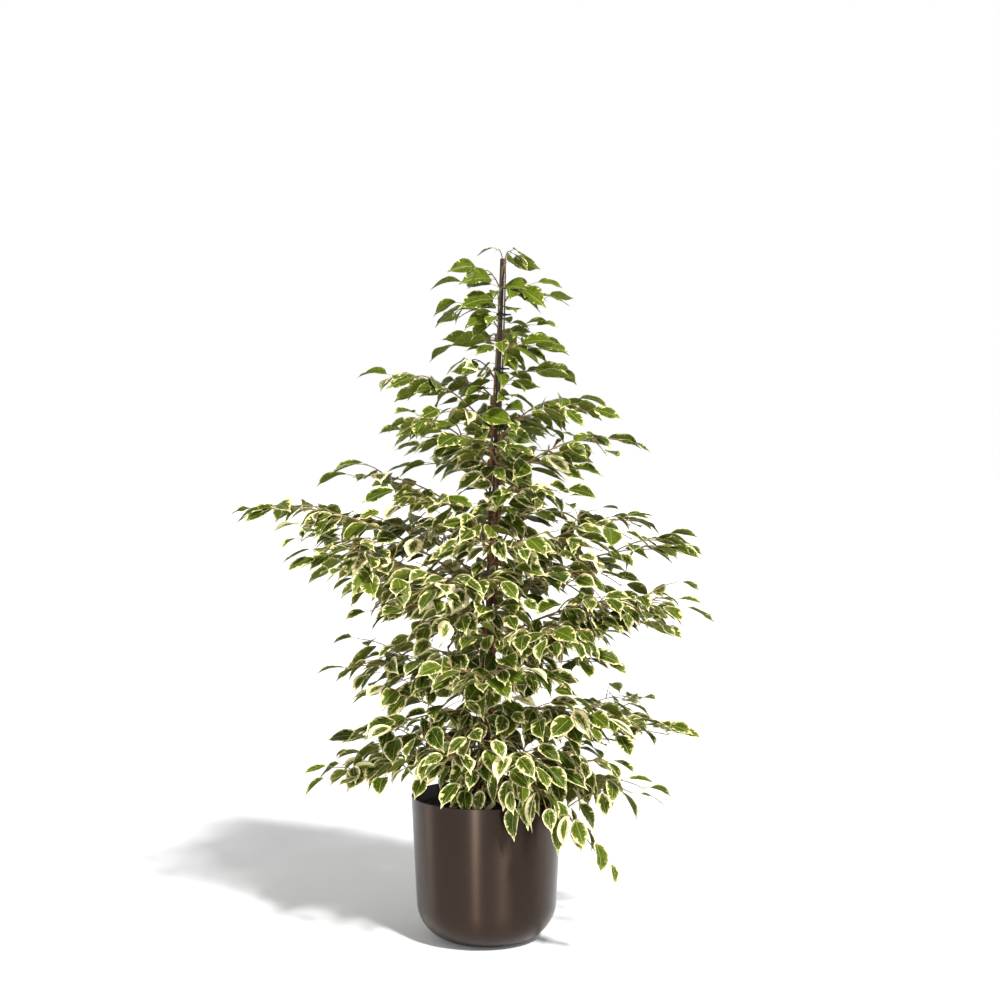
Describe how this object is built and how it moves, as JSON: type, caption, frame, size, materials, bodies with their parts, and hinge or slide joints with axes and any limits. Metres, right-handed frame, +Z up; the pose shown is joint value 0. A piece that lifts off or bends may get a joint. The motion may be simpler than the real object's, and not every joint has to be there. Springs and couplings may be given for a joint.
{
  "type": "weeping fig in a planter",
  "caption": "Variegated weeping fig tied to a stake, in a nursery pot inside a round bronze metal planter.",
  "frame": {"origin": "centre of the planter's flat base, on the floor", "axes": "+Z up along the plant's height, -Y towards the viewer, +X to the viewer's right"},
  "size_m": [0.8215, 0.6493, 1.1682],
  "materials": {
    "bronze_metal": "satin",
    "black_plastic": "matte",
    "potting_soil": "matte",
    "stake_rod": "matte",
    "bark": "matte",
    "tie_plastic": "satin",
    "foliage": "satin"
  },
  "bodies": {
    "root": {"planter": "bronze_metal", "grow_pot": "black_plastic", "soil": "potting_soil", "stake": "stake_rod", "stem_1": "bark", "stem_2": "bark", "stem_3": "bark", "tie_1": "tie_plastic", "tie_2": "tie_plastic", "tie_3": "tie_plastic", "branch_01": "foliage", "branch_02": "foliage", "branch_03": "foliage", "branch_04": "foliage", "branch_05": "foliage", "branch_06": "foliage", "branch_07": "foliage", "branch_08": "foliage", "branch_09": "foliage", "branch_10": "foliage", "branch_11": "foliage", "branch_12": "foliage", "branch_13": "foliage", "branch_14": "foliage", "branch_15": "foliage", "branch_16": "foliage", "branch_17": "foliage", "branch_18": "foliage", "branch_19": "foliage", "branch_20": "foliage", "branch_21": "foliage", "branch_22": "foliage", "branch_23": "foliage", "branch_24": "foliage", "branch_25": "foliage", "branch_26": "foliage", "branch_27": "foliage", "branch_28": "foliage", "branch_29": "foliage", "branch_30": "foliage", "branch_31": "foliage", "branch_32": "foliage", "branch_33": "foliage", "branch_34": "foliage", "branch_35": "foliage", "branch_36": "foliage", "branch_37": "foliage", "branch_38": "foliage", "branch_39": "foliage", "branch_40": "foliage", "branch_41": "foliage", "branch_42": "foliage", "branch_43": "foliage", "branch_44": "foliage", "branch_45": "foliage", "branch_46": "foliage", "branch_47": "foliage", "branch_48": "foliage", "branch_49": "foliage", "branch_50": "foliage"}
  },
  "joints": []
}
